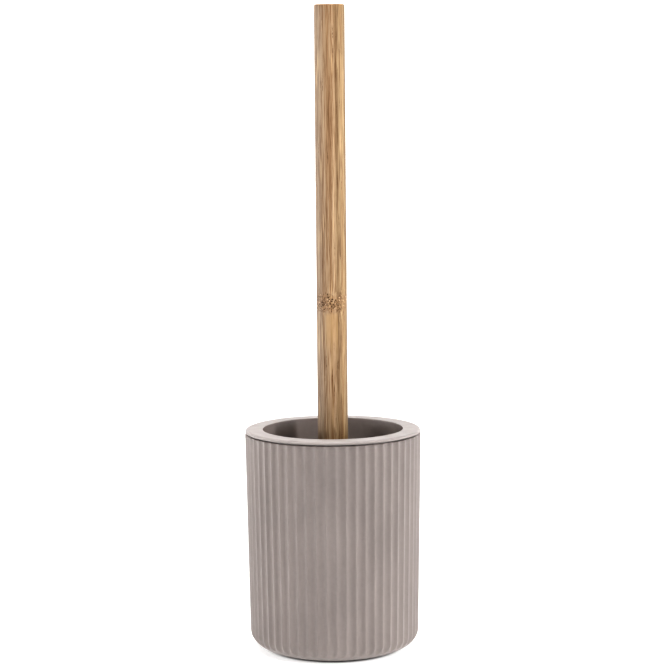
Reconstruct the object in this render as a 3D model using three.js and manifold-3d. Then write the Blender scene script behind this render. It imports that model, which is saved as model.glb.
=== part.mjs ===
// Toilet brush standing in a fluted round holder. Millimetres, +Z up.
// The origin is the centre of the footprint, on the surface that the foot pads stand on.
// The front of the holder faces -Y.
import * as THREE from 'three';
import { mergeVertices } from 'three/addons/utils/BufferGeometryUtils.js';
import Module from 'manifold-3d';

// Space left between two pieces that touch
const GAP = 0.3;

// Outer shell: radii are to the crests between the flutes
const SHELL_TOP = 129.0;
const SHELL_CREST_RADIUS_TOP = 52.0;
const SHELL_CREST_RADIUS_LOW = 50.1;
const SHELL_CORNER_WIDTH = 15.0;
const SHELL_CORNER_HEIGHT = 10.4;
const SHELL_WALL = 2.7;
const SHELL_FLOOR_TOP = 3.6;
const SHELL_EDGE = 0.6;
const CAVITY_CORNER = 9.0;

// Flutes
const FLUTE_COUNT = 56;
const FLUTE_DEPTH = 1.2;
const FLUTE_FADE_LOW = 4.0;
const FLUTE_FADE_HIGH = 8.0;
const CREST_ANGLE = THREE.MathUtils.degToRad(1.6);
const COLUMNS_PER_FLUTE = 4;

// Foot pads, each in a pocket under the shell
const FOOT_COUNT = 4;
const FOOT_RADIUS = 5.0;
const FOOT_THICKNESS = 1.6;
const FOOT_PROUD = 0.6;
const FOOT_CIRCLE = 26.0;
const FOOT_EDGE = 0.3;

// Inner liner: a cup that hangs by its flange, which is the smooth ring on top
const RING_TOP = 131.6;
const RING_RADIUS = 51.8;
const RING_THICKNESS = 1.8;
const RING_EDGE_WIDTH = 1.6;
const RING_EDGE_HEIGHT = 1.4;
const RING_UNDER_EDGE = 0.2;
const MOUTH_RADIUS = 41.4;
const MOUTH_EDGE = 0.5;
const LEDGE_RADIUS = 50.0;
const SKIRT_CLEARANCE = 0.4;
const SKIRT_WALL = 1.5;
const SKIRT_DEPTH = 5.3;
const LINER_RADIUS_LOW = 39.4;
const LINER_WALL = 1.5;
const LINER_FLOOR = 1.8;
const LINER_CORNER = 6.0;

// Brush: heights are above the tips of its lowest bristles
const BRUSH_RADIUS = 36.0;
const BRUSH_DOME_HEIGHT = 30.0;
const CORE_RADIUS = 10.8;
const CORE_BOTTOM = 18.0;
const CORE_TOP = 78.0;
const NECK_RADIUS = 9.0;
const NECK_START = 85.0;
const NECK_TOP = 93.0;
const NECK_EDGE = 0.8;
const SIDE_ROW_COUNT = 7;
const SIDE_ROW_PITCH = 7.0;
const TUFT_ROOT_HEIGHT = 3.0;
const DOME_ROW_ANGLES = [66, 38, 8];
const DOME_ROW_GAP_ANGLE = 0.9;

// Screwed joint between the brush head and the handle
const THREAD_RADIUS = 4.0;
const THREAD_ENGAGED = 12.0;
const THREAD_BORE_DEPTH = 15.0;
const STUD_IN_HANDLE = 25.0;
const STUD_CHAMFER = 0.8;
const WASHER_RADIUS = 8.8;
const WASHER_THICKNESS = 1.2;

// Handle
const HANDLE_RADIUS = 9.0;
const HANDLE_LENGTH = 279.0;
const HANDLE_TOP_EDGE = 1.1;
const HANDLE_LOW_EDGE = 0.6;

// Number of flat sides that stand for a circle
const SIDES_LARGE = 48;
const SIDES_BRUSH = 30;
const SIDES_SMALL = 24;

const MERGE_DISTANCE = 1e-4;

const wasm = await Module();
wasm.setup();

// A lathe's seam and its points on the axis become shared vertices, and its empty triangles go.
function closedMesh(geometry) {
  geometry.deleteAttribute('normal');
  geometry.deleteAttribute('uv');
  const merged = mergeVertices(geometry, MERGE_DISTANCE);
  const corners = merged.index.array;
  const kept = [];
  for (let i = 0; i < corners.length; i += 3) {
    const [a, b, c] = corners.slice(i, i + 3);
    if (a !== b && b !== c && c !== a) {
      kept.push(a, b, c);
    }
  }
  merged.setIndex(kept);
  return merged;
}

function toSolid(geometry) {
  return new wasm.Manifold(new wasm.Mesh({
    numProp: 3,
    vertProperties: new Float32Array(geometry.attributes.position.array),
    triVerts: new Uint32Array(geometry.index.array),
  }));
}

function toGeometry(solid) {
  const mesh = solid.getMesh();
  const geometry = new THREE.BufferGeometry();
  geometry.setAttribute('position', new THREE.BufferAttribute(mesh.vertProperties, 3));
  geometry.setIndex(new THREE.BufferAttribute(mesh.triVerts, 1));
  return geometry;
}

// Points of a quarter ellipse, both ends included, from angle `from` to angle `to` in degrees.
function arc(centreRadius, centreHeight, width, height, from, to, steps) {
  const points = [];
  for (let i = 0; i <= steps; i += 1) {
    const angle = THREE.MathUtils.degToRad(from + (to - from) * i / steps);
    points.push([centreRadius + width * Math.cos(angle), centreHeight + height * Math.sin(angle)]);
  }
  return points;
}

// Turns an outline of [radius, height] points about the Z axis. The outline runs up its outer side.
// The first column of points faces -Y, turned by startAngle towards +X.
function turned(outline, sides, startAngle = 0) {
  const points = outline.map(([radius, height]) => new THREE.Vector2(radius, height));
  const geometry = new THREE.LatheGeometry(points, sides, startAngle);
  geometry.rotateX(Math.PI / 2);
  return closedMesh(geometry);
}

// 0 on the crest between two flutes and 1 on the middle line of a flute. Crest and flute are both round.
function fluteHollow(angle) {
  return (1 - Math.cos((angle - CREST_ANGLE) * FLUTE_COUNT)) / 2;
}

// Presses the flutes into a turned solid. They fade out in the rounded bottom corner.
function pressFlutes(geometry) {
  const position = geometry.attributes.position;
  for (let i = 0; i < position.count; i += 1) {
    const x = position.getX(i);
    const y = position.getY(i);
    const radius = Math.hypot(x, y);
    const depth = FLUTE_DEPTH * THREE.MathUtils.smoothstep(position.getZ(i), FLUTE_FADE_LOW, FLUTE_FADE_HIGH);
    if (radius > depth) {
      const scale = 1 - depth * fluteHollow(Math.atan2(x, -y)) / radius;
      position.setXY(i, x * scale, y * scale);
    }
  }
  return geometry;
}

function footPosition(index) {
  const angle = (index + 0.5) * 2 * Math.PI / FOOT_COUNT;
  return new THREE.Vector3(FOOT_CIRCLE * Math.cos(angle), FOOT_CIRCLE * Math.sin(angle), 0);
}

function outerShell() {
  const cornerStart = SHELL_CREST_RADIUS_LOW - SHELL_CORNER_WIDTH;
  const outside = turned([
    [0, FOOT_PROUD],
    ...arc(cornerStart, FOOT_PROUD + SHELL_CORNER_HEIGHT, SHELL_CORNER_WIDTH, SHELL_CORNER_HEIGHT, -90, 0, 6),
    [SHELL_CREST_RADIUS_TOP, SHELL_TOP - SHELL_EDGE],
    [SHELL_CREST_RADIUS_TOP - SHELL_EDGE, SHELL_TOP],
    [0, SHELL_TOP],
  ], FLUTE_COUNT * COLUMNS_PER_FLUTE, CREST_ANGLE);
  const cavityRadiusLow = SHELL_CREST_RADIUS_LOW - SHELL_WALL;
  const cavity = turned([
    [0, SHELL_FLOOR_TOP],
    ...arc(cavityRadiusLow - CAVITY_CORNER, SHELL_FLOOR_TOP + CAVITY_CORNER, CAVITY_CORNER, CAVITY_CORNER, -90, 0, 3),
    [SHELL_CREST_RADIUS_TOP - SHELL_WALL, SHELL_TOP],
    [SHELL_CREST_RADIUS_TOP - SHELL_WALL, SHELL_TOP + 1],
    [0, SHELL_TOP + 1],
  ], SIDES_LARGE);
  let shell = toSolid(pressFlutes(outside)).subtract(toSolid(cavity));
  const pocketTop = FOOT_THICKNESS + GAP;
  for (let i = 0; i < FOOT_COUNT; i += 1) {
    const pocket = turned([
      [0, 0],
      [FOOT_RADIUS + GAP, 0],
      [FOOT_RADIUS + GAP, pocketTop],
      [0, pocketTop],
    ], SIDES_SMALL);
    const { x, y } = footPosition(i);
    pocket.translate(x, y, 0);
    shell = shell.subtract(toSolid(pocket));
  }
  return toGeometry(shell);
}

function footPad() {
  return turned([
    [0, 0],
    [FOOT_RADIUS - FOOT_EDGE, 0],
    [FOOT_RADIUS, FOOT_EDGE],
    [FOOT_RADIUS, FOOT_THICKNESS],
    [0, FOOT_THICKNESS],
  ], SIDES_SMALL);
}

// The flange rests on the shell by a ledge. Outside the ledge it stands off, which leaves a shadow line.
function innerLiner() {
  const bottom = SHELL_FLOOR_TOP + GAP;
  const ledge = SHELL_TOP + GAP;
  const ringUnder = RING_TOP - RING_THICKNESS;
  const skirtRadius = SHELL_CREST_RADIUS_TOP - SHELL_WALL - SKIRT_CLEARANCE;
  const outsideLow = LINER_RADIUS_LOW + LINER_WALL;
  const outsideCorner = LINER_CORNER + LINER_WALL;
  return turned([
    [0, bottom],
    ...arc(outsideLow - outsideCorner, bottom + outsideCorner, outsideCorner, outsideCorner, -90, 0, 3),
    [MOUTH_RADIUS + LINER_WALL, ledge],
    [skirtRadius - SKIRT_WALL, ledge],
    [skirtRadius - SKIRT_WALL, ledge - SKIRT_DEPTH],
    [skirtRadius, ledge - SKIRT_DEPTH],
    [skirtRadius, ledge],
    [LEDGE_RADIUS, ledge],
    [LEDGE_RADIUS, ringUnder],
    [RING_RADIUS - RING_UNDER_EDGE, ringUnder],
    [RING_RADIUS, ringUnder + RING_UNDER_EDGE],
    ...arc(RING_RADIUS - RING_EDGE_WIDTH, RING_TOP - RING_EDGE_HEIGHT, RING_EDGE_WIDTH, RING_EDGE_HEIGHT, 0, 90, 3),
    ...arc(MOUTH_RADIUS + MOUTH_EDGE, RING_TOP - MOUTH_EDGE, MOUTH_EDGE, MOUTH_EDGE, 90, 180, 2),
    ...arc(LINER_RADIUS_LOW - LINER_CORNER, bottom + LINER_FLOOR + LINER_CORNER, LINER_CORNER, LINER_CORNER, 0, -90, 3),
    [0, bottom + LINER_FLOOR],
  ], SIDES_LARGE);
}

// The moulded core: a round-ended cylinder, then a neck with the blind hole for the handle's stud.
function brushCore() {
  const domeTop = CORE_BOTTOM + CORE_RADIUS;
  const boreRadius = THREAD_RADIUS + GAP;
  return turned([
    ...arc(0, domeTop, CORE_RADIUS, CORE_RADIUS, -90, 0, 5),
    [CORE_RADIUS, CORE_TOP],
    [NECK_RADIUS, NECK_START],
    [NECK_RADIUS, NECK_TOP - NECK_EDGE],
    [NECK_RADIUS - NECK_EDGE, NECK_TOP],
    [boreRadius, NECK_TOP],
    [boreRadius, NECK_TOP - THREAD_BORE_DEPTH],
    [0, NECK_TOP - THREAD_BORE_DEPTH],
  ], SIDES_BRUSH);
}

// A point between the core's dome and the bristle tips, at an angle in degrees below level.
function onDome(angle, share) {
  const radians = THREE.MathUtils.degToRad(angle);
  const rootRadius = CORE_RADIUS + GAP;
  const root = [rootRadius * Math.cos(radians), CORE_BOTTOM + CORE_RADIUS - rootRadius * Math.sin(radians)];
  const tip = [BRUSH_RADIUS * Math.cos(radians), BRUSH_DOME_HEIGHT * (1 - Math.sin(radians))];
  return root.map((value, i) => THREE.MathUtils.lerp(value, tip[i], share));
}

// A row of tufts on the dome: a cone-shaped ring between two angles below level.
function domeRow(lowAngle, highAngle) {
  const steps = 2;
  const tips = [];
  const roots = [];
  for (let i = 0; i <= steps; i += 1) {
    const angle = THREE.MathUtils.lerp(lowAngle, highAngle, i / steps);
    tips.push(onDome(angle, 1));
    roots.unshift(onDome(angle, 0));
  }
  if (lowAngle === 90) {
    tips[0][0] = 0;
    roots[steps][0] = 0;
    return turned([...tips, ...roots], SIDES_BRUSH);
  }
  return turned([...tips, ...roots, tips[0]], SIDES_BRUSH);
}

// A row of tufts on the core's side: a ring that spreads from its root to its tips.
function sideRow(height) {
  const root = CORE_RADIUS + GAP;
  const tipHalf = (SIDE_ROW_PITCH - GAP) / 2;
  const rootHalf = TUFT_ROOT_HEIGHT / 2;
  return turned([
    [root, height - rootHalf],
    [BRUSH_RADIUS, height - tipHalf],
    [BRUSH_RADIUS, height + tipHalf],
    [root, height + rootHalf],
    [root, height - rootHalf],
  ], SIDES_BRUSH);
}

function sealingWasher() {
  const bore = THREAD_RADIUS + GAP;
  return turned([
    [bore, 0],
    [WASHER_RADIUS, 0],
    [WASHER_RADIUS, WASHER_THICKNESS],
    [bore, WASHER_THICKNESS],
    [bore, 0],
  ], SIDES_SMALL);
}

// Heights of the handle and of its stud are above the handle's lower end.
function handle() {
  const boreRadius = THREAD_RADIUS + GAP;
  const boreTop = STUD_IN_HANDLE + GAP;
  const edgeCentre = HANDLE_RADIUS - HANDLE_TOP_EDGE;
  return turned([
    [0, boreTop],
    [boreRadius, boreTop],
    [boreRadius, 0],
    [HANDLE_RADIUS - HANDLE_LOW_EDGE, 0],
    [HANDLE_RADIUS, HANDLE_LOW_EDGE],
    ...arc(edgeCentre, HANDLE_LENGTH - HANDLE_TOP_EDGE, HANDLE_TOP_EDGE, HANDLE_TOP_EDGE, 0, 90, 3),
    [0, HANDLE_LENGTH],
  ], SIDES_BRUSH);
}

function handleStud() {
  const low = -(THREAD_ENGAGED + WASHER_THICKNESS + 2 * GAP);
  return turned([
    [0, low],
    [THREAD_RADIUS - STUD_CHAMFER, low],
    [THREAD_RADIUS, low + STUD_CHAMFER],
    [THREAD_RADIUS, STUD_IN_HANDLE - STUD_CHAMFER],
    [THREAD_RADIUS - STUD_CHAMFER, STUD_IN_HANDLE],
    [0, STUD_IN_HANDLE],
  ], SIDES_SMALL);
}

function material(color, roughness, metalness = 0) {
  return new THREE.MeshStandardMaterial({ color, roughness, metalness });
}

const shellPlastic = material(0x9d928c, 0.6);
const linerPlastic = material(0xa59a93, 0.4);
const footRubber = material(0x3b3836, 0.9);
const bamboo = material(0xc39a6d, 0.6);
const steel = material(0xb9babb, 0.3, 1);
const silicone = material(0xd9d6d0, 0.6);
const corePlastic = material(0xe9e7e2, 0.4);
const bristle = material(0xf1f0ec, 0.5);

function piece(name, geometry, pieceMaterial) {
  const mesh = new THREE.Mesh(geometry, pieceMaterial);
  mesh.name = name;
  return mesh;
}

// Holder
const holder = new THREE.Group();
holder.add(piece('outer_shell', outerShell(), shellPlastic));
for (let i = 0; i < FOOT_COUNT; i += 1) {
  const pad = piece(`foot_pad_${i + 1}`, footPad(), footRubber);
  pad.position.copy(footPosition(i));
  holder.add(pad);
}
holder.add(piece('inner_liner', innerLiner(), linerPlastic));

// Brush head, from the tip upwards
const brush = new THREE.Group();
brush.position.z = SHELL_FLOOR_TOP + GAP + LINER_FLOOR + GAP;
brush.add(piece('brush_core', brushCore(), corePlastic));
const rowLimits = [90, ...DOME_ROW_ANGLES];
rowLimits.slice(1).forEach((limit, i) => {
  const low = i === 0 ? rowLimits[i] : rowLimits[i] - DOME_ROW_GAP_ANGLE;
  const name = i === 0 ? 'tip_tufts' : `tuft_row_${i}`;
  brush.add(piece(name, domeRow(low, limit + DOME_ROW_GAP_ANGLE), bristle));
});
for (let i = 0; i < SIDE_ROW_COUNT; i += 1) {
  const height = BRUSH_DOME_HEIGHT + i * SIDE_ROW_PITCH;
  brush.add(piece(`tuft_row_${i + DOME_ROW_ANGLES.length}`, sideRow(height), bristle));
}

// Washer, then the handle with its stud
const washer = piece('sealing_washer', sealingWasher(), silicone);
washer.position.z = NECK_TOP + GAP;
brush.add(washer);
const handleGroup = new THREE.Group();
handleGroup.position.z = NECK_TOP + GAP + WASHER_THICKNESS + GAP;
handleGroup.add(piece('handle', handle(), bamboo), piece('handle_stud', handleStud(), steel));
brush.add(handleGroup);

const object = new THREE.Group();
object.add(holder, brush);
export default object;
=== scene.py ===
import math
import random

import bpy
import numpy as np
from mathutils import Matrix, Vector


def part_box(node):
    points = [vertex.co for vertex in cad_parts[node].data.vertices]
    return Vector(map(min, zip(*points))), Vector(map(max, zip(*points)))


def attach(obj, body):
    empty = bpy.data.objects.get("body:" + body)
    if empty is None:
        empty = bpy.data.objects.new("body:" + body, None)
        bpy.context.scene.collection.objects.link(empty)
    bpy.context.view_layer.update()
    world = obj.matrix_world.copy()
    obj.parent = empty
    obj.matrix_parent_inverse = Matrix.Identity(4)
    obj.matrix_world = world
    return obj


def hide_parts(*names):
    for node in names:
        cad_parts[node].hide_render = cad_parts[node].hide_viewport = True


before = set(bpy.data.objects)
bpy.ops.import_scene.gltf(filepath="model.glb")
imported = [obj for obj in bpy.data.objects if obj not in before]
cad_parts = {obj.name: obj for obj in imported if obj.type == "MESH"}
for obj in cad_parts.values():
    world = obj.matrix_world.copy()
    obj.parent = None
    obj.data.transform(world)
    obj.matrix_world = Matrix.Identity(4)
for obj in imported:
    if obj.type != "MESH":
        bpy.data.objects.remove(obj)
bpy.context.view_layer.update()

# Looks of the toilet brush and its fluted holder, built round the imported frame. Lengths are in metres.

MM = 0.001
TAU = 2 * math.pi
AXIS = 1e-9  # a radius under this lies on the axis

# Sizes that the frame gives
SHELL_LOW, SHELL_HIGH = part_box("outer_shell")
LINER_LOW, LINER_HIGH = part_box("inner_liner")
CORE_LOW, CORE_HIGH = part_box("brush_core")
WASHER_LOW, WASHER_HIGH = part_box("sealing_washer")
HANDLE_LOW, HANDLE_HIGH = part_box("handle")
STUD_LOW, STUD_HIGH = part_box("handle_stud")

# Outer shell
FLUTES = 56
FLUTE_DEPTH = 1.2 * MM
CREST_ANGLE = math.radians(1.6) - math.pi / 2
CREST_CAP = 0.25  # share of half a flute's width that the rounded crest takes
SHELL_RADIUS_TOP = 52.0 * MM
SHELL_RADIUS_LOW = SHELL_RADIUS_TOP - 1.9 * MM
SHELL_CORNER = (15.0 * MM, 10.4 * MM)  # width and height of the rounding at the bottom
SHELL_WALL = 2.7 * MM
SHELL_FLOOR = 3.6 * MM
SHELL_EDGE = 0.6 * MM
FLUTE_FADE = (4.2 * MM, 7.8 * MM)  # heights between which the flutes reach their full depth
GATE_RADIUS = 3.0 * MM  # moulding gate mark in the middle of the underside
GATE_DEPTH = 0.3 * MM
SHELL_INNER_CORNER = 9.0 * MM
SHELL_LIP = 0.3 * MM

# Liner
RING_RADIUS = 51.8 * MM
RING_THICKNESS = 1.8 * MM
RING_EDGE = (1.6 * MM, 1.4 * MM)  # width and height of the rounding on its upper edge
MOUTH_RADIUS = 41.4 * MM
MOUTH_EDGE = 0.5 * MM
LEDGE_RADIUS = 50.0 * MM
LEDGE_HEIGHT = SHELL_HIGH.z + 0.3 * MM
SKIRT = (47.4 * MM, 48.9 * MM, 5.3 * MM)  # inner radius, outer radius, depth
LINER_RADIUS_LOW = 39.4 * MM
LINER_WALL = 1.5 * MM
LINER_FLOOR = 1.8 * MM
LINER_CORNER = 6.0 * MM

# Foot pads and washer
PAD_EDGE = 0.4 * MM
WASHER_EDGE = 0.35 * MM

# Brush head
BRUSH_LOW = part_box("tip_tufts")[0].z
BRUSH_RADIUS = 36.0 * MM
BRUSH_MARGIN = 0.3 * MM  # filament paths stay this far inside the head's outline
DOME_HEIGHT = 30.0 * MM
CORE_RADIUS = CORE_HIGH.x
CORE_CENTRE = CORE_LOW.z + CORE_RADIUS
CORE_SIDE = 60.0 * MM  # from the core's lower end to the shoulder of its neck
NECK_START = 67.0 * MM
NECK_RADIUS = 9.0 * MM
NECK_EDGE = 0.8 * MM
SIDE_ROWS = 7
SIDE_ROW_PITCH = 7.0 * MM
SIDE_TUFTS = 14
TUFT_ROOT = 1.25 * MM  # radius of the hole that a tuft is pressed into
TUFT_SINK = 0.3 * MM
SIDE_SPREAD = 4.6 * MM
DOME_SPREAD = 4.2 * MM
FILAMENTS = 34  # in one tuft
FILAMENT_RADIUS = 0.2 * MM
FILAMENT_STEPS = 5
TIP_JITTER = 0.5 * MM
GOLDEN_ANGLE = 2.39996  # radians

# Stud and the holes round it
THREAD_PITCH = 1.25 * MM
THREAD_RADIUS = STUD_HIGH.x
THREAD_DEPTH = 0.62 * MM
STUD_CHAMFER = 0.8 * MM
STUD_GAP = 0.3 * MM
CORE_BORE_DEPTH = 15.0 * MM

# Handle
HANDLE_RADIUS = HANDLE_HIGH.x
HANDLE_EDGE = 1.1 * MM
HANDLE_LOW_EDGE = 0.6 * MM
OUT_OF_ROUND = 0.06 * MM
KNUCKLE_HEIGHT = 206.6 * MM

# Light tent: brightness of its walls, its roof, the lamp in the roof and the low white cards at both sides.
# A spread, turn or top is the pair of direction components between which that light fades in or out.
FRONT_LIGHT = 0.12
BACK_LIGHT = 1.15
WALL_TURN = (-0.2, 0.5)
WALL_TOP = (0.25, 0.6)
ROOF_LIGHT = 0.1
LAMP_LIGHT = 10.5
LAMP_SPREAD = (0.91, 0.97)
LEFT_CARD = 9.4
RIGHT_CARD = 7.9
CARD_SPREAD = (0.84, 0.97)
CARD_TOP = (0.06, 0.22)
RIGHT_KEY = (1.2, 3.5)  # strength and width in degrees
LEFT_KEY = (0.2, 22)
KEY_SLANT = (-1, 0.8)  # towards the front and up, for one sideways

# Floor: it glows faintly all over, more in a ring round the holder as painted light that fills in the holder's
# shadow on the floor, and not at all under it
FLOOR_RADIUS = 8.0
FLOOR_GLOW = 0.2
FOOT_GLOW = 0.48
FOOT_GLOW_START = (36.8 * MM, 42.5 * MM)
FOOT_GLOW_END = (55 * MM, 72 * MM)

# Camera
CAMERA_DISTANCE = 1.214
CAMERA_HEIGHT = 0.3238
CAMERA_PITCH = math.radians(6.36)
CAMERA_ROLL = math.radians(0.5)
CAMERA_LENS = 112.2
CAMERA_SHIFT = 0.0007


# ---------------------------------------------------------------- meshes

def finish_mesh(name, vertices, faces, sharp_angle=35):
    mesh = bpy.data.meshes.new(name)
    mesh.from_pydata(vertices, [], faces)
    mesh.validate()
    mesh.shade_smooth()
    mesh.set_sharp_from_angle(angle=math.radians(sharp_angle))
    piece = bpy.data.objects.new(name, mesh)
    bpy.context.scene.collection.objects.link(piece)
    return piece


def arc(centre_radius, centre_height, width, height, start, end, steps):
    """Points of an elliptic arc between two angles in degrees, both ends included."""
    angles = np.radians(np.linspace(start, end, steps + 1))
    return [(centre_radius + width * math.cos(a), centre_height + height * math.sin(a)) for a in angles]


def straight(start, end, steps):
    """Points strictly between two points of an outline."""
    return [tuple(np.add(start, np.subtract(end, start) * i / steps)) for i in range(1, steps)]


def revolve(name, outline, columns, warp=None, warped=None, closed=False, sharp_angle=35):
    """Turns an outline of (radius, height) points about Z. The outline runs up its outer side.
    columns is a number of even steps or an array of angles. warp(radii, heights, angles) moves the points
    of the outline rows in warped, or of all rows, in or out."""
    angles = np.linspace(0, TAU, columns, endpoint=False) if np.isscalar(columns) else columns
    count = len(angles)
    vertices, rings = [], []
    for row, (radius, height) in enumerate(outline):
        if radius < AXIS:
            rings.append([len(vertices)] * count)
            vertices.append((0.0, 0.0, height))
            continue
        radii, heights = np.full(count, radius), np.full(count, height)
        if warp and (warped is None or row in warped):
            radii, heights = warp(radii, heights, angles)
        rings.append(list(range(len(vertices), len(vertices) + count)))
        vertices.extend(zip(radii * np.cos(angles), radii * np.sin(angles), heights))
    if closed:
        rings.append(rings[0])
    faces = []
    for low, high in zip(rings, rings[1:]):
        for i in range(count):
            j = (i + 1) % count
            corners = [low[i], low[j], high[j], high[i]]
            if low[i] == low[j]:
                corners.pop(1)
            elif high[i] == high[j]:
                corners.pop(3)
            faces.append(corners)
    return finish_mesh(name, vertices, faces, sharp_angle)


def smooth_step(value, low, high):
    t = np.clip((value - low) / (high - low), 0, 1)
    return t * t * (3 - 2 * t)


# ---------------------------------------------------------------- node materials

class Shader:
    """A node material that ends in one Principled BSDF."""

    def __init__(self, name, roughness=0.5, specular=0.5, **plain):
        self.material = bpy.data.materials.new(name)
        self.material.use_nodes = True
        self.tree = self.material.node_tree
        self.tree.nodes.clear()
        self.surface = self.tree.nodes.new("ShaderNodeBsdfPrincipled")
        output = self.tree.nodes.new("ShaderNodeOutputMaterial")
        self.tree.links.new(self.surface.outputs[0], output.inputs["Surface"])
        self.set(self.surface, Roughness=roughness, Specular_IOR_Level=specular, **plain)
        self.where = self.add("ShaderNodeTexCoord").outputs["Object"]

    def feed(self, sockets, values):
        """Links each socket to its value's output, or stores a plain value in it."""
        for socket, value in zip(sockets, values):
            if isinstance(value, bpy.types.NodeSocket):
                self.tree.links.new(value, socket)
            else:
                socket.default_value = value

    def set(self, node, **inputs):
        self.feed([node.inputs[key.replace("_", " ")] for key in inputs], inputs.values())

    def add(self, kind, settings=None, **inputs):
        node = self.tree.nodes.new(kind)
        for key, value in (settings or {}).items():
            setattr(node, key, value)
        self.set(node, **inputs)
        return node

    def math(self, operation, *values):
        node = self.add("ShaderNodeMath", {"operation": operation})
        self.feed(node.inputs, values)
        return node.outputs[0]

    def scaled(self, x, y, z, source=None):
        """Object coordinates multiplied along each axis."""
        node = self.add("ShaderNodeVectorMath", {"operation": "MULTIPLY"})
        self.feed(node.inputs, (source or self.where, (x, y, z)))
        return node.outputs[0]

    def noise(self, where, detail=2.0, roughness=0.5):
        node = self.add("ShaderNodeTexNoise", Vector=where, Scale=1.0, Detail=detail, Roughness=roughness)
        return node.outputs[0]

    def cells(self, where):
        """Scattered cells: a distance from each one's middle and a colour of its own."""
        return self.add("ShaderNodeTexVoronoi", Vector=where, Scale=1.0).outputs

    def channels(self, colour):
        return self.add("ShaderNodeSeparateColor", Color=colour).outputs

    def product(self, first, *others):
        for other in others:
            first = self.math("MULTIPLY", first, other)
        return first

    def ramp(self, factor, *stops):
        """Maps a factor through (position, colour or grey) stops."""
        node = self.add("ShaderNodeValToRGB", Fac=factor)
        elements = node.color_ramp.elements
        while len(elements) < len(stops):
            elements.new(1.0)
        for element, (position, colour) in zip(elements, stops):
            element.position = position
            element.color = colour if isinstance(colour, tuple) else (colour, colour, colour, 1)
        return node.outputs[0]

    def between(self, value, low, high, to_low=0.0, to_high=1.0):
        """0 to 1 (or other limits) as a value goes smoothly from low to high."""
        node = self.add("ShaderNodeMapRange", {"interpolation_type": "SMOOTHSTEP"}, Value=value,
                        From_Min=low, From_Max=high, To_Min=to_low, To_Max=to_high)
        return node.outputs[0]

    def mix(self, factor, first, second, blend="MIX"):
        node = self.add("ShaderNodeMix", {"data_type": "RGBA", "blend_type": blend})
        self.feed((node.inputs[0], node.inputs[6], node.inputs[7]), (factor, first, second))
        return node.outputs[2]

    def bump(self, height, distance, strength=1.0, under=None):
        node = self.add("ShaderNodeBump", Height=height, Distance=distance, Strength=strength)
        if under:
            self.tree.links.new(under, node.inputs["Normal"])
        return node.outputs[0]


def srgb(red, green, blue):
    """A colour given as 0-255 screen values, in the linear values that a shader takes."""
    linear = [((c / 255 + 0.055) / 1.055) ** 2.4 if c > 10 else c / 255 / 12.92 for c in (red, green, blue)]
    return (*linear, 1.0)


def moulded_plastic(name, colour, roughness, grain=0.012 * MM, uneven=1.0, specular=0.5):
    """Satin injection-moulded plastic: faint tint drift, fine spark-eroded grain, uneven gloss."""
    shader = Shader(name, specular=specular)
    drift = shader.noise(shader.scaled(38, 38, 22), detail=3)
    cloud = shader.noise(shader.scaled(420, 420, 420), detail=2)
    dark = tuple(c * (1 - 0.07 * uneven) for c in colour[:3]) + (1,)
    light = tuple(min(c * (1 + 0.06 * uneven), 1) for c in colour[:3]) + (1,)
    tint = shader.ramp(drift, (0.3, dark), (0.7, light))
    speckle = shader.ramp(cloud, (0.35, 0.94), (0.65, 1.0))
    shader.set(shader.surface, Base_Color=shader.mix(0.6, tint, speckle, "MULTIPLY"))
    fine = shader.noise(shader.scaled(5200, 5200, 5200), detail=2)
    coarse = shader.noise(shader.scaled(1500, 1500, 1500), detail=1)
    grainy = shader.bump(fine, grain, under=shader.bump(coarse, grain))
    shader.set(shader.surface, Normal=grainy)
    gloss = shader.between(shader.noise(shader.scaled(90, 90, 60), detail=2), 0.35, 0.65,
                           roughness - 0.04 * uneven, roughness + 0.04 * uneven)
    shader.set(shader.surface, Roughness=gloss)
    return shader.material


def bamboo():
    """Sanded solid bamboo: lengthwise fibre, dark and pale bundles, bands of tint with painted shade at both
    sides, and one knuckle.
    """
    shader = Shader("bamboo", specular=0.35)
    x, y, z = shader.add("ShaderNodeSeparateXYZ", Vector=shader.where).outputs
    above_knuckle = shader.math("SUBTRACT", z, KNUCKLE_HEIGHT)
    bent = bent_fibres(shader, x, y, z, above_knuckle)
    wander = shader.math("SUBTRACT", shader.noise(shader.scaled(120, 120, 6)), 0.5)
    across = shader.math("MULTIPLY_ADD", y, 0.35, shader.math("MULTIPLY_ADD", wander, 2.5 * MM, x))
    fine = shader.noise(shader.scaled(2300, 2300, 48, bent), detail=3, roughness=0.7)
    colour, bundles = bamboo_grain(shader, bent, across, fine)
    colour, specks = bamboo_knuckle(shader, bent, across, above_knuckle, colour)
    relief = shader.math("SUBTRACT", fine, shader.math("MULTIPLY", bundles, 0.5))
    relief = shader.math("SUBTRACT", relief, shader.math("MULTIPLY", specks, 0.8))
    shader.set(shader.surface, Base_Color=colour, Normal=shader.bump(relief, 0.05 * MM, 0.8),
               Roughness=shader.between(fine, 0.3, 0.7, 0.5, 0.66))
    return shader.material


def bent_fibres(shader, x, y, z, above_knuckle):
    """Coordinates that follow the fibres, which swerve at the knuckle."""
    away = shader.between(shader.math("ABSOLUTE", above_knuckle), 0.0, 14 * MM)
    sway = shader.math("SUBTRACT", shader.noise(shader.scaled(260, 260, 160)), 0.5)
    swerve = shader.math("MULTIPLY", shader.math("SUBTRACT", 1.0, away), sway)
    return shader.add("ShaderNodeCombineXYZ", X=shader.math("MULTIPLY_ADD", swerve, 2.6 * MM, x),
                      Y=shader.math("MULTIPLY_ADD", swerve, -2.0 * MM, y), Z=z).outputs[0]


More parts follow.
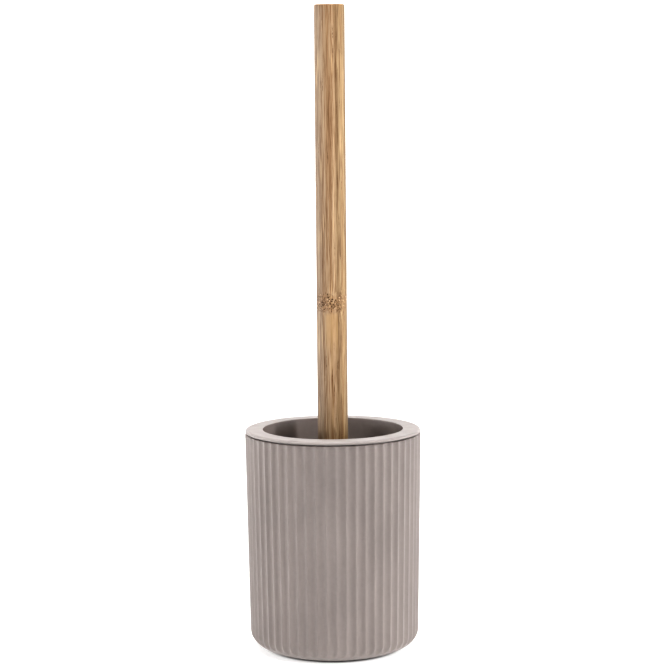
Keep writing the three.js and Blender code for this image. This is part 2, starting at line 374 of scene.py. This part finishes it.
def bamboo_grain(shader, bent, across, fine):
    """Returns the colour of the strips and fibres, with painted shade darkening the dowel's two sides, and how
    much of a dark bundle is at a point.
    """
    side = shader.add("ShaderNodeMapRange", Value=across, From_Min=-HANDLE_RADIUS,
                      From_Max=HANDLE_RADIUS).outputs[0]
    # Strip tones across the dowel. The darker stops at both ends are partly the strips' own tone and partly
    # painted shade, holding down the side cards' light on the dowel's left and right sides.
    strip_tones_and_edge_shade = shader.ramp(side, (0.0, srgb(161, 142, 120)), (0.2, srgb(181, 157, 128)),
                         (0.42, srgb(196, 171, 139)), (0.52, srgb(158, 133, 102)),
                         (0.62, srgb(161, 137, 104)), (0.75, srgb(184, 158, 119)),
                         (0.92, srgb(156, 135, 101)))
    broad = shader.noise(shader.scaled(620, 620, 7, bent), detail=3, roughness=0.6)
    broad_tint = shader.ramp(broad, (0.34, srgb(205, 184, 162)), (0.58, 1.0))
    fine_tint = shader.ramp(fine, (0.36, srgb(160, 130, 100)), (0.58, 1.0))
    colour = shader.mix(0.85, shader.mix(0.75, strip_tones_and_edge_shade, broad_tint, "MULTIPLY"), fine_tint, "MULTIPLY")
    # Dark bundles as long dashes, thicker in the middle strips
    bundle = shader.cells(shader.scaled(1150, 1150, 62, bent))
    crowd = shader.ramp(side, (0.0, 0.1), (0.3, 0.2), (0.45, 0.75), (0.62, 0.8), (0.75, 0.3), (0.9, 0.45))
    chosen = shader.channels(bundle["Color"])[0]
    picked = shader.math("LESS_THAN", chosen, shader.math("MULTIPLY", crowd, 0.62))
    dash = shader.between(bundle["Distance"], 0.36, 0.14)
    dots = shader.between(shader.noise(shader.scaled(1100, 1100, 620, bent)), 0.4, 0.6, 0.35, 1.0)
    dark = shader.product(dash, picked, dots)
    colour = shader.mix(shader.math("MULTIPLY", dark, 0.9), colour, srgb(92, 62, 36))
    # Pale bundles
    pale_cell = shader.cells(shader.scaled(900, 900, 40, bent))
    picked = shader.math("GREATER_THAN", shader.channels(pale_cell["Color"])[1], 0.72)
    pale = shader.product(shader.between(pale_cell["Distance"], 0.4, 0.1), picked, 0.6)
    return shader.mix(pale, colour, srgb(222, 192, 150)), dark


def bamboo_knuckle(shader, bent, across, above_knuckle, colour):
    """Adds a ragged band of dark and pale specks, with a plainer patch under it.
    Returns the new colour, and how much of a dark speck is at a point."""
    wave = shader.math("SUBTRACT", shader.noise(shader.scaled(420, 420, 90)), 0.5)
    ragged = shader.math("ABSOLUTE", shader.math("MULTIPLY_ADD", wave, 7 * MM, above_knuckle))
    band = shader.math("SUBTRACT", 1.0, shader.between(ragged, 3.6 * MM, 6.0 * MM))
    speck = shader.cells(shader.scaled(1500, 1500, 900, bent))
    chosen = shader.channels(speck["Color"])[0]
    many = shader.math("GREATER_THAN", chosen, 0.24)
    few = shader.math("LESS_THAN", chosen, 0.16)
    dark = shader.product(shader.between(speck["Distance"], 0.62, 0.3), many, band)
    pale = shader.product(shader.between(speck["Distance"], 0.42, 0.2), few, band)
    heavy = shader.math("MULTIPLY_ADD", shader.between(across, 4.5 * MM, 0.5 * MM), 0.6, 0.35)
    colour = shader.mix(shader.math("MULTIPLY", band, 0.25), colour, srgb(160, 122, 84))
    colour = shader.mix(shader.math("MULTIPLY", dark, heavy), colour, srgb(66, 42, 22))
    colour = shader.mix(shader.math("MULTIPLY", pale, 0.75), colour, srgb(240, 214, 176))
    patch = shader.product(shader.between(above_knuckle, -34 * MM, -16 * MM),
                           shader.between(above_knuckle, -5 * MM, -7.5 * MM),
                           shader.between(across, 1.2 * MM, 0.2 * MM),
                           shader.between(across, -7.5 * MM, -6.0 * MM), 0.45)
    return shader.mix(patch, colour, srgb(186, 154, 112)), dark


def bamboo_end():
    """Sawn end of the dowel: pale ground with the dots of the cut fibre bundles, denser to one side."""
    shader = Shader("bamboo_end", specular=0.3)
    x = shader.add("ShaderNodeSeparateXYZ", Vector=shader.where).outputs[0]
    cloud = shader.noise(shader.scaled(500, 500, 500), detail=3)
    ground = shader.ramp(cloud, (0.3, srgb(146, 120, 90)), (0.7, srgb(172, 146, 114)))
    dots = shader.cells(shader.scaled(1250, 1250, 40))
    size = shader.between(x, -HANDLE_RADIUS, HANDLE_RADIUS, 0.18, 0.36)
    dot = shader.math("MULTIPLY", shader.math("LESS_THAN", dots["Distance"], size), 0.75)
    shader.set(shader.surface, Base_Color=shader.mix(dot, ground, srgb(112, 76, 42)),
               Roughness=0.8, Normal=shader.bump(dots["Distance"], 0.08 * MM))
    return shader.material


def threaded_steel():
    """Rolled stainless thread: fine turning lines and slightly uneven polish."""
    shader = Shader("threaded_steel", Metallic=1.0)
    lines = shader.noise(shader.scaled(300, 300, 16000), detail=2)
    cloud = shader.noise(shader.scaled(700, 700, 700), detail=3)
    tint = shader.ramp(cloud, (0.3, srgb(166, 168, 170)), (0.7, srgb(205, 206, 207)))
    shader.set(shader.surface, Base_Color=tint, Roughness=shader.between(cloud, 0.3, 0.7, 0.22, 0.4),
               Normal=shader.bump(lines, 0.01 * MM))
    return shader.material


def silicone():
    """Soft washer rubber: greyish, a little see-through at its edges, with faint clouds."""
    shader = Shader("silicone", specular=0.4, Subsurface_Weight=0.25)
    shader.surface.inputs["Subsurface Radius"].default_value = (0.6, 0.55, 0.5)
    shader.surface.inputs["Subsurface Scale"].default_value = 1.2 * MM
    cloud = shader.noise(shader.scaled(700, 700, 700), detail=2)
    tint = shader.ramp(cloud, (0.3, srgb(172, 169, 163)), (0.7, srgb(190, 187, 181)))
    shader.set(shader.surface, Base_Color=tint, Roughness=shader.between(cloud, 0.3, 0.7, 0.42, 0.58),
               Normal=shader.bump(cloud, 0.02 * MM))
    return shader.material


def foam_rubber():
    """Dark foam rubber, with small pits in its cut skin."""
    shader = Shader("foam_rubber", specular=0.25)
    cell = shader.cells(shader.scaled(2600, 2600, 2600))
    cloud = shader.noise(shader.scaled(600, 600, 600), detail=2)
    ground = shader.ramp(cloud, (0.3, srgb(46, 44, 42)), (0.7, srgb(64, 61, 58)))
    pits = shader.ramp(cell["Distance"], (0.1, 0.45), (0.5, 1.0))
    shader.set(shader.surface, Base_Color=shader.mix(0.8, ground, pits, "MULTIPLY"), Roughness=0.88,
               Normal=shader.bump(cell["Distance"], 0.12 * MM))
    return shader.material


def filament():
    """Polypropylene filament: milky, a little see-through, with faint clouds and a fine grain."""
    shader = Shader("bristle_filament", roughness=0.38, specular=0.5, Subsurface_Weight=0.2)
    shader.surface.inputs["Subsurface Radius"].default_value = (0.5, 0.5, 0.5)
    shader.surface.inputs["Subsurface Scale"].default_value = 0.6 * MM
    cloud = shader.noise(shader.scaled(300, 300, 300), detail=2)
    fine = shader.noise(shader.scaled(2500, 2500, 2500), detail=1)
    tint = shader.ramp(cloud, (0.3, srgb(196, 195, 190)), (0.7, srgb(220, 219, 215)))
    shader.set(shader.surface, Base_Color=tint, Normal=shader.bump(fine, 0.02 * MM))
    return shader.material


# ---------------------------------------------------------------- pieces

def place(piece, body, slot, *nodes):
    """Fastens a piece to its moving body, in place of CAD nodes. The slot argument is not used."""
    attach(piece, body)
    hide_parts(*nodes)


def flute_hollow(angles):
    """0 on a crest and 1 on the middle line of a flute, with a rounded crest."""
    turns = (angles - CREST_ANGLE) * FLUTES / TAU
    across = np.abs(2 * (turns - np.floor(turns)) - 1)
    start = 1 - CREST_CAP
    sharp = 1 - across ** 2
    capped = CREST_CAP + start / CREST_CAP * (1 - across) ** 2
    return (np.where(across > start, capped, sharp) - CREST_CAP) / start


def flute_columns():
    """Angles of the columns: close together at the crests and wider in the flutes."""
    shares = [0, 0.03, 0.065, 0.11, 0.18, 0.28, 0.39, 0.5, 0.61, 0.72, 0.82, 0.89, 0.935, 0.97]
    turns = [flute + share for flute in range(FLUTES) for share in shares]
    return np.array([CREST_ANGLE + turn * TAU / FLUTES for turn in turns])


def press_flutes(radii, heights, angles):
    """The flutes are as deep as they reach below the skin, so their lower ends are round."""
    shown = smooth_step(heights, *FLUTE_FADE)
    reach = flute_hollow(angles) - (1 - shown)
    soft = 0.06 * (1 - shown) + 1e-6
    depth = 0.5 * (reach + np.sqrt(reach ** 2 + soft ** 2))
    return radii - FLUTE_DEPTH * depth, heights


def build_shell(plastic):
    low, high = SHELL_LOW.z, SHELL_HIGH.z
    width, height = SHELL_CORNER
    corner = arc(SHELL_RADIUS_LOW - width, low + height, width, height, -90, 0, 40)
    underside = [(0, low + GATE_DEPTH), (GATE_RADIUS, low + GATE_DEPTH), (GATE_RADIUS + GATE_DEPTH, low),
                 *straight((GATE_RADIUS, low), corner[0], 8)]
    top_edge = arc(SHELL_RADIUS_TOP - SHELL_EDGE, high - SHELL_EDGE, SHELL_EDGE, SHELL_EDGE, 0, 90, 6)
    inside_top = SHELL_RADIUS_TOP - SHELL_WALL
    inside_low = SHELL_RADIUS_LOW - SHELL_WALL
    lip = arc(inside_top + SHELL_LIP, high - SHELL_LIP, SHELL_LIP, SHELL_LIP, 90, 180, 3)
    rounding = SHELL_INNER_CORNER
    inner_corner = arc(inside_low - rounding, SHELL_FLOOR + rounding, rounding, rounding, 0, -90, 8)
    outside = [*underside, *corner, *straight(corner[-1], top_edge[0], 24), *top_edge]
    outline = [*outside, *lip, *straight(lip[-1], inner_corner[0], 6), *inner_corner, (0, SHELL_FLOOR)]
    fluted = range(len(underside), len(outside))
    shell = revolve("shell_body", outline, flute_columns(), press_flutes, fluted, sharp_angle=60)
    shell.data.materials.append(plastic)
    return shell


def build_liner(outside, inside):
    low, top = LINER_LOW.z, LINER_HIGH.z
    under = top - RING_THICKNESS
    outer_low = LINER_RADIUS_LOW + LINER_WALL
    outer_corner = LINER_CORNER + LINER_WALL
    bottom = arc(outer_low - outer_corner, low + outer_corner, outer_corner, outer_corner, -90, 0, 10)
    width, height = RING_EDGE
    ring = [(RING_RADIUS - 0.2 * MM, under), (RING_RADIUS - 0.06 * MM, under + 0.06 * MM),
            (RING_RADIUS, under + 0.2 * MM),
            *arc(RING_RADIUS - width, top - height, width, height, 0, 90, 16)]
    mouth = arc(MOUTH_RADIUS + MOUTH_EDGE, top - MOUTH_EDGE, MOUTH_EDGE, MOUTH_EDGE, 90, 180, 10)
    floor = arc(LINER_RADIUS_LOW - LINER_CORNER, low + LINER_FLOOR + LINER_CORNER,
                LINER_CORNER, LINER_CORNER, 0, -90, 10)
    neck = (MOUTH_RADIUS + LINER_WALL, LEDGE_HEIGHT)
    skirt_inner, skirt_outer, skirt_depth = SKIRT
    skirt_low = LEDGE_HEIGHT - skirt_depth
    outline = [(0, low), *bottom, *straight(bottom[-1], neck, 8), neck,
               (skirt_inner, LEDGE_HEIGHT), (skirt_inner, skirt_low), (skirt_outer, skirt_low),
               (skirt_outer, LEDGE_HEIGHT), (LEDGE_RADIUS, LEDGE_HEIGHT), (LEDGE_RADIUS, under),
               *ring, *straight(ring[-1], mouth[0], 4), *mouth, *straight(mouth[-1], floor[0], 16), *floor,
               *straight(floor[-1], (0, floor[-1][1]), 4), (0, floor[-1][1])]
    liner = revolve("liner_cup", outline, 240)
    liner.data.materials.append(outside)
    liner.data.materials.append(inside)
    for face in liner.data.polygons:
        centre = face.center
        radius = math.hypot(centre.x, centre.y)
        if radius < MOUTH_RADIUS + 0.05 * MM and face.normal.dot(Vector((centre.x, centre.y, 0))) <= AXIS:
            face.material_index = 1
    return liner


def build_foot_pad(index, rubber):
    low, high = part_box(f"foot_pad_{index}")
    radius = (high.x - low.x) / 2
    thickness = high.z
    edge = PAD_EDGE
    outline = [(0, 0), (radius - edge, 0), *arc(radius - edge, edge, edge, edge, -90, 0, 5)[1:],
               *arc(radius - edge, thickness - edge, edge, edge, 0, 90, 5), (0, thickness)]
    pad = revolve(f"foot_{index}", outline, 48)
    centre = (low + high) / 2
    pad.data.transform(Matrix.Translation((centre.x, centre.y, 0)))
    pad.data.materials.append(rubber)
    return pad


def cut_thread(radii, heights, angles):
    """A V thread: the radius falls and rises once a turn."""
    phase = (heights - STUD_LOW.z) / THREAD_PITCH - angles / TAU
    share = np.abs(2 * (phase - np.floor(phase)) - 1)
    cut = THREAD_DEPTH * np.clip(1.25 * share - 0.125, 0, 1)
    return np.where(radii > THREAD_RADIUS - AXIS, radii - cut, radii), heights


def build_stud(steel):
    low, high = STUD_LOW.z, STUD_HIGH.z
    end_radius = THREAD_RADIUS - STUD_CHAMFER
    rows = int((high - low - 2 * STUD_CHAMFER) / THREAD_PITCH * 10)
    body = [(THREAD_RADIUS, z) for z in np.linspace(low + STUD_CHAMFER, high - STUD_CHAMFER, rows)]
    outline = [(0, low), (end_radius, low), *body, (end_radius, high), (0, high)]
    stud = revolve("stud_thread", outline, 48, cut_thread, sharp_angle=50)
    stud.data.materials.append(steel)
    return stud


def build_washer(rubber):
    low, high = WASHER_LOW.z, WASHER_HIGH.z
    edge = WASHER_EDGE
    outer, inner = WASHER_HIGH.x - edge, THREAD_RADIUS + STUD_GAP + edge
    under, over = low + edge, high - edge
    corners = [(outer, under, -90), (outer, over, 0), (inner, over, 90), (inner, under, 180)]
    outline = []
    for radius, height, start in corners:
        outline.extend(arc(radius, height, edge, edge, start, start + 90, 5))
    washer = revolve("washer_ring", outline, 72, closed=True)
    washer.data.materials.append(rubber)
    return washer


def build_handle(skin, end):
    low, high = HANDLE_LOW.z, HANDLE_HIGH.z
    bore = THREAD_RADIUS + STUD_GAP
    bore_top = STUD_HIGH.z + STUD_GAP
    edge = HANDLE_EDGE
    round_top = arc(HANDLE_RADIUS - edge, high - edge, edge, edge, 0, 90, 10)
    side_low = (HANDLE_RADIUS, low + HANDLE_LOW_EDGE)
    outline = [(0, bore_top), (bore, bore_top), (bore, low), (HANDLE_RADIUS - HANDLE_LOW_EDGE, low),
               (HANDLE_RADIUS - HANDLE_LOW_EDGE / 4, low + HANDLE_LOW_EDGE / 4), side_low,
               *straight(side_low, round_top[0], 90), *round_top,
               *straight(round_top[-1], (0, high), 4), (0, high)]

    def warp(radii, heights, angles):
        """Sanding leaves the dowel out of round by a few hundredths of a millimetre."""
        skin_rows = radii > bore + 1 * MM
        wave = 0.5 + 0.5 * np.sin(3 * angles + heights * 31) * np.cos(heights * 47)
        return radii - skin_rows * OUT_OF_ROUND * wave, heights

    handle = revolve("bamboo_handle", outline, 96, warp)
    handle.data.materials.append(skin)
    handle.data.materials.append(end)
    for face in handle.data.polygons:
        if abs(face.normal.z) > 0.8:
            face.material_index = 1
    return handle


def build_core(plastic):
    low, high = CORE_LOW.z, CORE_HIGH.z
    side_top, neck_start = low + CORE_SIDE, low + NECK_START
    bore, bore_bottom = THREAD_RADIUS + STUD_GAP, high - CORE_BORE_DEPTH
    edge = NECK_EDGE
    neck_edge = arc(NECK_RADIUS - edge, high - edge, edge, edge, 0, 90, 6)
    outline = [*arc(0, CORE_CENTRE, CORE_RADIUS, CORE_RADIUS, -90, 0, 24),
               *straight((CORE_RADIUS, CORE_CENTRE), (CORE_RADIUS, side_top), 12), (CORE_RADIUS, side_top),
               *arc(NECK_RADIUS, side_top, CORE_RADIUS - NECK_RADIUS, neck_start - side_top, 0, 80, 8)[1:],
               (NECK_RADIUS, neck_start), *straight((NECK_RADIUS, neck_start), neck_edge[0], 4), *neck_edge,
               (bore + 0.5 * MM, high), (bore, high - 0.5 * MM), (bore, bore_bottom), (0, bore_bottom)]
    core = revolve("core_body", outline, 72)
    core.data.materials.append(plastic)
    return core


def filament_mesh(paths, radius, sides=4):
    """Vertices and faces of thin tapered rods along the given paths."""
    vertices, faces = [], []
    for path in paths:
        points = [Vector(p) for p in path]
        first = len(vertices)
        direction = (points[-1] - points[0]).normalized()
        side = direction.orthogonal().normalized()
        other = direction.cross(side)
        last = len(points) - 1
        for i, point in enumerate(points):
            here = radius * (1.0 if i < last else 0.55)
            for k in range(sides):
                turn = TAU * k / sides
                vertices.append(point + here * (math.cos(turn) * side + math.sin(turn) * other))
        for i in range(last):
            for k in range(sides):
                a, b = first + i * sides + k, first + i * sides + (k + 1) % sides
                faces.append((a, b, b + sides, a + sides))
        faces.append(tuple(first + k for k in reversed(range(sides))))
        faces.append(tuple(first + last * sides + k for k in range(sides)))
    return vertices, faces


def tuft_paths(rng, root, direction, length, count, spread):
    """Filaments of one tuft: packed in a small round hole, then fanning out, each with a slight curve."""
    side = direction.orthogonal().normalized()
    other = direction.cross(side)
    paths = []
    for i in range(count):
        share = math.sqrt((i + 0.5) / count)
        turn = i * GOLDEN_ANGLE + rng.uniform(-0.2, 0.2)
        away = (side * math.cos(turn) + other * math.sin(turn)) * share
        start = root + away * TUFT_ROOT
        jitter = Vector((rng.gauss(0, 1), rng.gauss(0, 1), rng.gauss(0, 1))) * TIP_JITTER
        reach = length * rng.uniform(0.96, 1.0)
        tip = root + direction * reach + away * spread + jitter
        bow = away * rng.uniform(-0.8, 1.2) * MM
        path = []
        for step in range(FILAMENT_STEPS + 1):
            t = step / FILAMENT_STEPS
            drawn_in = away * spread * 0.25 * math.sin(math.pi * t)
            path.append(start.lerp(tip, t) + bow * 4 * t * (1 - t) - drawn_in)
        paths.append(path)
    return paths


def keep_in_head(point):
    """Trims a filament point to the brush head's outline."""
    radius = math.hypot(point.x, point.y)
    limit = BRUSH_RADIUS - BRUSH_MARGIN
    if radius > limit:
        point.x *= limit / radius
        point.y *= limit / radius
    point.z = max(point.z, BRUSH_LOW + BRUSH_MARGIN)
    return point


def build_tuft_row(node, name, tufts, material, seed):
    """tufts are (root, direction, length, spread)."""
    rng = random.Random(seed)
    paths = []
    for root, direction, length, spread in tufts:
        paths.extend(tuft_paths(rng, root, direction, length, FILAMENTS, spread))
    paths = [[keep_in_head(p) for p in path] for path in paths]
    vertices, faces = filament_mesh(paths, FILAMENT_RADIUS)
    row = finish_mesh(name, vertices, faces, 60)
    row.data.materials.append(material)
    place(row, "brush_head", "bristle", node)


def side_tufts(height, count, offset):
    """Tufts on the core's side, all at one height. The offset is a share of the step between two of them."""
    tufts = []
    for i in range(count):
        turn = TAU * (i + offset) / count
        outward = Vector((math.cos(turn), math.sin(turn), 0))
        root = outward * (CORE_RADIUS - TUFT_SINK) + Vector((0, 0, height))
        tufts.append((root, outward, BRUSH_RADIUS - CORE_RADIUS, SIDE_SPREAD))
    return tufts


def dome_tufts(angle_below, count, offset):
    """Tufts on the core's round end, all at one angle below level."""
    below = math.radians(angle_below)
    tufts = []
    for i in range(count):
        turn = TAU * (i + offset) / count
        level = math.cos(below)
        outward = Vector((math.cos(turn) * level, math.sin(turn) * level, -math.sin(below)))
        root = outward * (CORE_RADIUS - TUFT_SINK) + Vector((0, 0, CORE_CENTRE))
        tip = Vector((outward.x * BRUSH_RADIUS, outward.y * BRUSH_RADIUS,
                      BRUSH_LOW + DOME_HEIGHT * (1 - math.sin(below))))
        tufts.append((root, (tip - root).normalized(), (tip - root).length, DOME_SPREAD))
    return tufts


def build_bristles():
    bristle = filament()
    build_tuft_row("tip_tufts", "bristles_tip", dome_tufts(80, 4, 0.25), bristle, 11)
    build_tuft_row("tuft_row_1", "bristles_1", dome_tufts(53, 8, 0.0), bristle, 12)
    build_tuft_row("tuft_row_2", "bristles_2", dome_tufts(24, 12, 0.5), bristle, 13)
    for i in range(SIDE_ROWS):
        height = BRUSH_LOW + DOME_HEIGHT + i * SIDE_ROW_PITCH
        tufts = side_tufts(height, SIDE_TUFTS, 0.5 * (i % 2))
        build_tuft_row(f"tuft_row_{i + 3}", f"bristles_{i + 3}", tufts, bristle, 20 + i)


def build_object():
    taupe = srgb(134, 125, 121)
    shell_plastic = moulded_plastic("shell_plastic", taupe, 0.42)
    # The ring and the liner's outside take a lighter copy of the taupe: painted light, standing in for the
    # overhead light on the ring's top.
    ring_plastic_painted_light = moulded_plastic("ring_plastic_painted_light", srgb(147, 140, 137), 0.48, specular=0.3)
    cup_plastic = moulded_plastic("cup_plastic", taupe, 0.26, 0.004 * MM, 0.3)
    place(build_shell(shell_plastic), "holder", "shell_plastic", "outer_shell")
    rubber = foam_rubber()
    for i in range(1, 5):
        place(build_foot_pad(i, rubber), "holder", "foot_rubber", f"foot_pad_{i}")
    place(build_liner(ring_plastic_painted_light, cup_plastic), "liner", "liner_plastic", "inner_liner")
    core_plastic = moulded_plastic("core_plastic", srgb(176, 173, 168), 0.35)
    place(build_core(core_plastic), "brush_head", "core_plastic", "brush_core")
    build_bristles()
    place(build_washer(silicone()), "washer", "washer_silicone", "sealing_washer")
    place(build_handle(bamboo(), bamboo_end()), "handle", "bamboo", "handle")
    place(build_stud(threaded_steel()), "handle", "stud_steel", "handle_stud")


# ---------------------------------------------------------------- stage, light and camera

def white_floor():
    """Matt white floor with a glow that changes with the distance from the holder's axis; the brighter ring
    round the holder is painted light that fills in its shadow.
    """
    shader = Shader("floor_white", roughness=0.9, specular=0.1)
    cloud = shader.noise(shader.scaled(3, 3, 3), detail=2)
    length = shader.add("ShaderNodeVectorMath", {"operation": "LENGTH"}, Vector=shader.where)
    distance = length.outputs["Value"]
    fade_start, fade_end = FOOT_GLOW_END
    # Painted light: a brighter glow in a ring round the holder washes out its shadow on the floor.
    around = shader.between(distance, fade_end, fade_start, FLOOR_GLOW, FOOT_GLOW)
    beside = shader.between(distance, *FOOT_GLOW_START)
    shader.set(shader.surface, Base_Color=shader.ramp(cloud, (0.3, 0.6), (0.7, 0.64)),
               Emission_Color=(1, 1, 1, 1), Emission_Strength=shader.math("MULTIPLY", around, beside))
    return shader.material


def build_stage():
    bpy.ops.mesh.primitive_circle_add(vertices=96, radius=FLOOR_RADIUS, fill_type="NGON")
    floor = bpy.context.object
    floor.name = "studio_floor"
    floor.data.materials.append(white_floor())


def build_world():
    """A light tent: a lamp overhead, white cards at both sides, a bright wall behind and a dim one in front."""
    world = bpy.data.worlds.new("light_tent")
    bpy.context.scene.world = world
    world.use_nodes = True
    tree = world.node_tree
    background = tree.nodes["Background"]
    where = tree.nodes.new("ShaderNodeTexCoord")
    split = tree.nodes.new("ShaderNodeSeparateXYZ")
    tree.links.new(where.outputs["Generated"], split.inputs[0])

    def ranged(source, low, high, to_low, to_high):
        node = tree.nodes.new("ShaderNodeMapRange")
        node.interpolation_type = "SMOOTHSTEP"
        tree.links.new(source, node.inputs["Value"])
        for key, value in (("From Min", low), ("From Max", high), ("To Min", to_low), ("To Max", to_high)):
            node.inputs[key].default_value = value
        return node.outputs[0]

    def combined(operation, first, second):
        node = tree.nodes.new("ShaderNodeMath")
        node.operation = operation
        tree.links.new(first, node.inputs[0])
        tree.links.new(second, node.inputs[1])
        return node.outputs[0]

    x, y, z = split.outputs
    near, far = CARD_SPREAD
    both = combined("ADD", ranged(x, near, far, 0.0, RIGHT_CARD), ranged(x, -near, -far, 0.0, LEFT_CARD))
    cards = combined("MULTIPLY", both, ranged(z, *CARD_TOP, 1.0, 0.0))
    front_to_back = ranged(y, *WALL_TURN, FRONT_LIGHT, BACK_LIGHT)
    wall = combined("MULTIPLY", front_to_back, ranged(z, *WALL_TOP, 1.0, 0.0))
    roof = ranged(z, *LAMP_SPREAD, ROOF_LIGHT, LAMP_LIGHT)
    total = combined("ADD", combined("ADD", cards, wall), roof)
    tree.links.new(total, background.inputs["Strength"])
    background.inputs["Color"].default_value = (1, 1, 1, 1)


def build_key_lights():
    """Weak lamps in front at both sides, small at the right, broad at the left, and unseen in reflections."""
    for name, side, (energy, width) in (("right_key", 1, RIGHT_KEY), ("left_key", -1, LEFT_KEY)):
        lamp = bpy.data.lights.new(name, "SUN")
        lamp.energy = energy
        lamp.angle = math.radians(width)
        key = bpy.data.objects.new(name, lamp)
        key.rotation_euler = Vector((side, *KEY_SLANT)).to_track_quat("Z", "Y").to_euler()
        key.visible_glossy = False
        bpy.context.scene.collection.objects.link(key)


def build_camera():
    """The camera stands in front, tilted down, and is turned a little about its own axis."""
    forward = Vector((0, math.cos(CAMERA_PITCH), -math.sin(CAMERA_PITCH)))
    level_right = Vector((1, 0, 0))
    level_up = Vector((0, math.sin(CAMERA_PITCH), math.cos(CAMERA_PITCH)))
    right = math.cos(CAMERA_ROLL) * level_right - math.sin(CAMERA_ROLL) * level_up
    up = math.sin(CAMERA_ROLL) * level_right + math.cos(CAMERA_ROLL) * level_up
    data = bpy.data.cameras.new("studio_camera")
    data.sensor_width = 36.0
    data.lens = CAMERA_LENS
    data.shift_x = CAMERA_SHIFT
    camera = bpy.data.objects.new("studio_camera", data)
    bpy.context.scene.collection.objects.link(camera)
    turn = Matrix((right, up, -forward)).transposed().to_4x4()
    camera.matrix_world = Matrix.Translation((0, -CAMERA_DISTANCE, CAMERA_HEIGHT)) @ turn
    bpy.context.scene.camera = camera


build_object()
build_stage()
build_world()
build_key_lights()
build_camera()
bpy.context.scene.view_settings.view_transform = "Standard"
bpy.context.scene.view_settings.look = "High Contrast"
